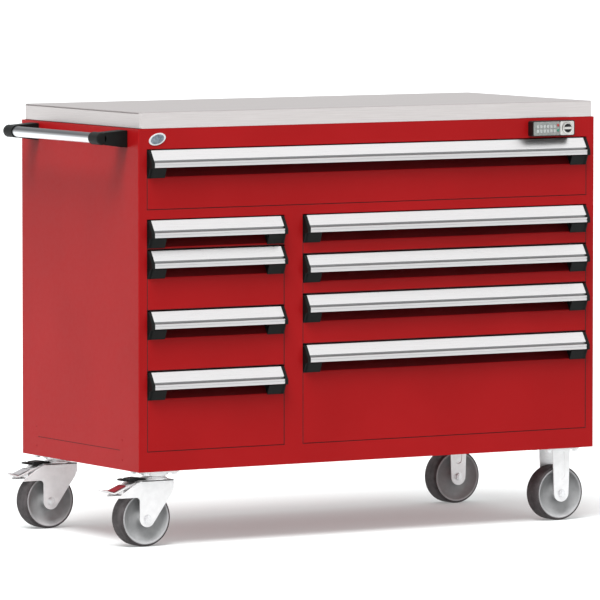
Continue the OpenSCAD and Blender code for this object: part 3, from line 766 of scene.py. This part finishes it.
def makeLock():
    foot, edge = lock["z"] - lock["height"] / 2, lock["edge"]
    housing = lockPlate("lock_body", boxCorners(lock["width"], lock["height"], 5), lock["x"], foot, -lock["depth"],
                        lock["depth"], 0.0015, 3)
    pad = lockPlate("keypad_plate", boxCorners(lock["padWidth"], lock["padHeight"], 3), lock["x"] + edge, foot + edge,
                    -28, 2)
    keys = makeKeys()
    lamps = makeLamps()
    seat = lockPlate("knob_seat", boxCorners(lock["seatWidth"], lock["padHeight"], 4), lock["x"] + lock["seatStart"],
                     foot + edge, -26.3, 1)
    knobOutline = [(0, -28), (12.6, -28), (13.4, -29.6), (15, -30), (17.2, -29.4), (18, -27.8), (18, -26.5), (5, -26.5),
                   (5, -15), (0, -15)]
    knob = turned("knob_disc", knobOutline, lock["knobX"], 0, lock["z"], 64)
    smoothFlat(knob, 35)
    # painted shade: a dark disc under the grip stands for the shadow lines above and below it
    knobPaintedShadeOutline = [(0, -28.2), (12.3, -28.2), (12.3, -27.4), (0, -27.4)]
    knobPaintedShade = turned("knob_well", knobPaintedShadeOutline, lock["knobX"], 0, lock["z"], 48)
    smoothFlat(knobPaintedShade, 35)
    grip = lockPlate("knob_grip", boxCorners(26, 7, 2.4), lock["knobX"] - 13, lock["z"] - 3.5, -30, 2.4)
    finishPiece(housing, "lock_body", "cabinet", darkPlastic, ["lock_housing"])
    finishPiece(pad, "keypad_plate", "cabinet", keyMetal, ["lock_keypad"])
    finishPiece(joinPieces("keypad_keys", keys), "keypad_keys", "cabinet", keyFace, ["lock_keypad"])
    finishPiece(lamps[0], "red_lamp", "cabinet", redLamp, ["lock_keypad"])
    finishPiece(lamps[1], "green_lamp", "cabinet", greenLamp, ["lock_keypad"])
    finishPiece(seat, "knob_seat", "cabinet", nickelMetal, ["lock_keypad"])
    finishPiece(knobPaintedShade, "knob_well", "knob", darkPlastic, ["lock_knob"])
    finishPiece(joinPieces("turn_knob", [knob, grip]), "turn_knob", "knob", nickelMetal, ["lock_knob"])


def badgeOval(share):
    corners = []
    for i in range(badge["points"]):
        angle = 2 * math.pi * i / badge["points"]
        up = badge["halfHeight"] * math.sin(angle)
        corners.append((share * (badge["halfWidth"] * math.cos(angle) + badge["slant"] * up), share * up))
    return corners


def makeBadge():
    rim = plate("badge_rim", badgeOval(1), badge["x"], lock["z"], -1.6, 1.6)
    bevelEdges(rim, 0.0006, 2, 40)
    face = plate("badge_face", badgeOval(badge["faceShare"]), badge["x"], lock["z"], -1.9, 1)
    bevelEdges(face, 0.0002, 2, 40)
    finishPiece(rim, "badge_rim", "cabinet", badgeRim, ["badge"])
    finishPiece(face, "badge_face", "cabinet", badgeFace, ["badge"])


makeLock()
makeBadge()
print("lock and badge done")


# casters
caster = {"leftAxle": 40, "rightAxle": 1429, "front": 61, "rear": 625, "axleZ": 80, "trail": 42, "gap": 34, "sheet": 4,
          "top": 108, "edge": 0.0009, "plateWidth": 114, "plateDepth": 100, "plateTop": 134, "plateSheet": 6,
          "crownStart": -18, "crownEnd": 86}
# nuts and washers on the axles, metres
nuts = {"rod": 0.006, "past": 8, "washer": 0.0125, "washerSheet": 0.0012, "nut": 0.0108, "nutHeight": 0.0048}
# outlines lie round the axle, millimetres: (radius, along) for the wheel, (x, z) for the rest
tyreOutline = [(73.2, -29.4), (74.4, -30), (76.2, -29.7), (78.2, -27.8), (79.5, -24.8), (80, -20), (80, 20),
               (79.5, 24.8), (78.2, 27.8), (76.2, 29.7), (74.4, 30), (73.2, 29.4)]
ringOutline = [(68.9, -29.4), (70.2, -30.4), (72.6, -30.4), (73.4, -29.6), (73.4, 29.6), (72.6, 30.4), (70.2, 30.4),
               (68.9, 29.4)]
coreSide = [(6.3, 32), (20, 32), (22, 30.5), (23.5, 20), (27, 14), (36, 10), (50, 10), (60, 15), (66, 23), (69.2, 29)]
coreOutline = [(r, -a) for r, a in coreSide] + [(r, a) for r, a in reversed(coreSide)]
swivelLeg = arcSpots(0, 0, 24, 180, 326, 16) + [(64, 48), (80, 70), (86, 84), (86, 108), (-18, 108), (-34, 101),
                                                (-89, 67), (-90, 61)] + arcSpots(-36, 49, 12, 90, 0, 8)
rigidLeg = arcSpots(0, 0, 25, 180, 360, 20) + [(30, 132), (-30, 132)]
wing = [(-29, 102), (-60, 92), (-97, 76, 12), (-131, 86, 0.8), (-131, 83, 0.8), (-98, 72, 12), (-62, 86), (-34, 91)]
insert = [(-113, 81.6), (-97.5, 77.4), (-60, 93.2), (-60, 95.6), (-97.5, 80.2), (-113, 83.8)]
shoe = [(-46, 92), (-68, 86), (-64, 68, 3), (-52, 68, 3)]
leverCover = [(-50, 104, 3), (-46, 114, 3), (-20, 116, 3), (4, 113, 2), (6, 109), (-18, 108.6), (-34, 102.5)]
leverTab = [(-72, 108, 2), (-70, 113, 2), (-58, 114, 2), (-48, 110), (-48, 107)]
pressing = [(-11, 40, 10.9), (11, 40, 10.9), (12, 122, 8), (-12, 122, 8)]


def makeWheel(place, x, y):
    z = caster["axleZ"]
    body = place + "_wheel"
    tyre = turned(place + "_rubber", tyreOutline, x, y, z, 96)
    ring = turned(place + "_ring", ringOutline, x, y, z, 96)
    core = turned(place + "_centre", coreOutline, x, y, z, 96)
    for part in (tyre, ring, core):
        smoothFlat(part, 40)
    finishPiece(tyre, place + "_rubber", body, tyreRubber, [place + "_tyre"])
    finishPiece(ring, place + "_ring", body, rimPlastic, [place + "_core"])
    finishPiece(core, place + "_centre", body, wheelPlastic, [place + "_core"])


def makeAxle(name, x, y, body, replaced):
    reach, z = caster["gap"] + caster["sheet"], caster["axleZ"]
    rod = addRod(name, spot(x, y, z), nuts["rod"], 2 * (reach + nuts["past"]) / 1000, "Y", 32)
    parts = [rod]
    for side in (-1, 1):
        parts.append(addRod(name, spot(x, y + side * (reach + 0.6), z), nuts["washer"], nuts["washerSheet"], "Y", 40))
        parts.append(addRod(name, spot(x, y + side * (reach + 3.6), z), nuts["nut"], nuts["nutHeight"], "Y", 6))
    for part in parts:
        bevelEdges(part, 0.0004, 2, 40)
    finishPiece(joinPieces(name, parts), name, body, boltZinc, [replaced])


def makeSwivelFork(place, y):
    x, z, gap, sheet = caster["leftAxle"], caster["axleZ"], caster["gap"], caster["sheet"]
    start, end, top = x + caster["crownStart"], x + caster["crownEnd"], z + caster["top"]
    name = place + "_swivel_fork"
    parts = [plate(name, swivelLeg, x, z, y + side, sheet) for side in (-gap - sheet, gap)]
    parts.append(block(name, (start, y - gap - sheet, top - sheet), (end, y + gap + sheet, top)))
    # the fold down behind the crown
    parts.append(block(name, (end - 3.5, y - gap - 1, top - 24), (end, y + gap + 1, top - 2)))
    # the race of the swivel head and the cone above it
    parts.append(disc(name, x + caster["trail"], y, top - 2, top + 5, 38))
    parts.append(disc(name, x + caster["trail"], y, top + 4, top + 8.8, 31))
    for part in parts:
        bevelEdges(part, caster["edge"], 2, 40)
    finishPiece(joinPieces(name, parts), name, place + "_swivel", zincPlate, [place + "_fork"])
    lever = place + "_lever_cover"
    covers = [plate(lever, leverCover, x, z, y - 20, 40), plate(lever, leverTab, x, z, y - 12, 24)]
    for part in covers:
        bevelEdges(part, 0.0012, 2, 40)
    finishPiece(joinPieces(lever, covers), lever, place + "_swivel", darkPlastic, [place + "_fork"])


def makePedal(place, y, finish):
    x, z = caster["leftAxle"], caster["axleZ"]
    name = place + "_pedal_plate"
    hinge = addRod(name, spot(x - 30, y, z + 96), 0.006, 0.052, "Y", 32)
    parts = [plate(name, wing, x, z, y - 26, 52), plate(name, shoe, x, z, y - 18, 36), hinge]
    for part in parts:
        bevelEdges(part, 0.0007, 2, 40)
    finishPiece(joinPieces(name, parts), name, place + "_brake", zincPlate, [place + "_pedal"])
    pad = plate(place + "_pedal_insert", insert, x, z, y - 20, 40)
    bevelEdges(pad, 0.0006, 2, 40)
    finishPiece(pad, place + "_pedal_insert", place + "_brake", finish, [place + "_pedal"])


def boltedPlate(name, x, y):
    width, depth, z = caster["plateWidth"] / 2, caster["plateDepth"] / 2, caster["axleZ"] + caster["plateTop"]
    base = block(name, (x - width, y - depth, z - caster["plateSheet"]), (x + width, y + depth, z))
    bevelChosen(base, lambda a, b: abs(a.z - b.z) > 0.005, 0.009, 4)
    bevelEdges(base, caster["edge"], 2, 40)
    return base


def makeSwivelPlate(place, y):
    x = caster["leftAxle"] + caster["trail"]
    name = place + "_swivel_plate"
    # below the plate: the race, its lower ring and the king pin
    parts = [boltedPlate(name, x, y), disc(name, x, y, 202, 209, 42), disc(name, x, y, 197.6, 203, 35),
             disc(name, x, y, 180, 204, 8, 32)]
    for part in parts[1:]:
        bevelEdges(part, caster["edge"], 2, 40)
    finishPiece(joinPieces(name, parts), name, "cabinet", zincPlate, ["swivel_plates"])


def makeRigidFork(place, y):
    x, z = caster["rightAxle"], caster["axleZ"]
    name = place + "_rigid_fork"
    parts = [boltedPlate(name, x, y)]
    for start, recessStart in ((-caster["gap"] - caster["sheet"], -41), (caster["gap"], 36.2)):
        leg = plate(name, rigidLeg, x, z, y + start, caster["sheet"])
        cutAway(leg, plate("pressing", pressing, x, z, y + recessStart, 4.8))
        bevelEdges(leg, caster["edge"], 2, 40)
        parts.append(leg)
    finishPiece(joinPieces(name, parts), name, "cabinet", zincPlate, ["rigid_forks"])


for place, y in (("front", caster["front"]), ("rear", caster["rear"])):
    makeWheel(place + "_left", caster["leftAxle"], y)
    makeWheel(place + "_right", caster["rightAxle"], y)
    makeAxle(place + "_left_nuts", caster["leftAxle"], y, place + "_swivel", place + "_axle")
    makeAxle(place + "_right_nuts", caster["rightAxle"], y, "cabinet", "rigid_axles")
    makeSwivelFork(place, y)
    makePedal(place, y, pedalRed if place == "front" else pedalGrey)
    makeSwivelPlate(place, y)
    makeRigidFork(place, y)
print("casters done")


# screws and seams on the side panels
underside = 214  # of the housing, millimetres above the floor
sideScrew = {"radius": 0.0029, "height": 0.0022, "depth": 1.4, "along": (95, 598.5), "up": (84.5, 28), "slot": 4}
sideSeam = {"from": 109.5, "to": 591, "foot": 268.1, "height": 2.0,
            "faces": {"left": (-0.15, 0.6), "right": (1523.4, 1523.9)}}


def makeScrews():
    heads = []
    half = sideScrew["slot"] / 2
    for along in sideScrew["along"]:
        for up in sideScrew["up"]:
            z = underside + up
            middle = spot(sideScrew["depth"], along, z)
            head = addRod("screw", middle, sideScrew["radius"], sideScrew["height"], "X", 32)
            bevelEdges(head, 0.0009, 3, 40)
            cutAway(head, block("slot", (-1, along - half, z - 0.4), (1.1, along + half, z + 0.4)))
            heads.append(head)
    left = joinPieces("left_side_screws", heads)
    right = mirrorCopy(left, "right_side_screws", "X", (leftX + rightX) / 2)
    # the seams are thin strips in the painted shade red: their dark lines are painted shade
    for side, (near, far) in sideSeam["faces"].items():
        name = side + "_side_seam"
        seam = block(name, (near, sideSeam["from"], sideSeam["foot"]),
                     (far, sideSeam["to"], sideSeam["foot"] + sideSeam["height"]))
        bevelEdges(seam, 0.0001, 1, 40)
        finishPiece(seam, name, "cabinet", paintedShadeRed)
    finishPiece(left, "left_side_screws", "cabinet", redPaint)
    finishPiece(right, "right_side_screws", "cabinet", redPaint)


makeScrews()
print("screws and seams done")


# camera
# turn and drop are degrees right of and below straight ahead
view = {"turn": 30.833, "drop": 4.177, "place": (-9.936, -16.660, 2.070), "lens": 402.55}
cameraData = bpy.data.cameras.new("camera")
cameraData.lens = view["lens"]
cameraData.sensor_width = 36
cameraData.clip_start = 0.1
cameraData.clip_end = 1000
camera = bpy.data.objects.new("camera", cameraData)
bpy.context.scene.collection.objects.link(camera)
camera.location = view["place"]
camera.rotation_euler = (math.radians(90 - view["drop"]), 0, -math.radians(view["turn"]))
bpy.context.scene.camera = camera

# floor and studio light
# below, horizon and overhead are the brightness of the surroundings
studio = {"floorSize": 400, "floorLow": (0.61, 0.635, 0.635), "floorHigh": (0.64, 0.665, 0.665), "glow": 0.24,
          "sun": 3.6, "sunSpread": 32, "sunFrom": (-0.37, -0.32, 1.0), "below": 0.28, "horizon": 0.78, "overhead": 1.0}
deselectAll()
bpy.ops.mesh.primitive_plane_add(size=studio["floorSize"], location=(0, 0, 0))
floor = settle("floor")
floorPaper = Finish("pale floor", gloss=0.1)
floorPaper.colour(floorPaper.grain(2.0, 2.0), studio["floorLow"], studio["floorHigh"])
floorPaper.shader.inputs["Roughness"].default_value = 0.9
floorPaper.shader.inputs["Emission Color"].default_value = (1, 1, 1, 1)
floorPaper.shader.inputs["Emission Strength"].default_value = studio["glow"]
floor.data.materials.append(floorPaper.material)
# the floor doesn't throw its brightness back on the underside
floor.visible_diffuse = False

sunData = bpy.data.lights.new("soft key", "SUN")
sunData.energy = studio["sun"]
sunData.angle = math.radians(studio["sunSpread"])
sun = bpy.data.objects.new("soft key", sunData)
bpy.context.scene.collection.objects.link(sun)
# metals mirror the sky and the floor, not the key light
sun.visible_glossy = False
sun.rotation_euler = Vector(studio["sunFrom"]).to_track_quat("Z", "Y").to_euler()

world = bpy.data.worlds.new("studio")
bpy.context.scene.world = world
world.use_nodes = True
sky = world.node_tree.nodes
up = sky.new("ShaderNodeTexCoord")
split = sky.new("ShaderNodeSeparateXYZ")
span = sky.new("ShaderNodeMapRange")
span.inputs["From Min"].default_value = -1
ramp = sky.new("ShaderNodeValToRGB")
for position in (0.49, 0.51):
    ramp.color_ramp.elements.new(position)
for stop, level in zip(ramp.color_ramp.elements, ("below", "below", "horizon", "overhead")):
    stop.color = (studio[level],) * 3 + (1,)
world.node_tree.links.new(up.outputs["Generated"], split.inputs[0])
world.node_tree.links.new(split.outputs["Z"], span.inputs["Value"])
world.node_tree.links.new(span.outputs["Result"], ramp.inputs["Fac"])
world.node_tree.links.new(ramp.outputs["Color"], sky["Background"].inputs["Color"])
bpy.context.scene.view_settings.view_transform = "Standard"
print("camera and light done")

deselectAll()
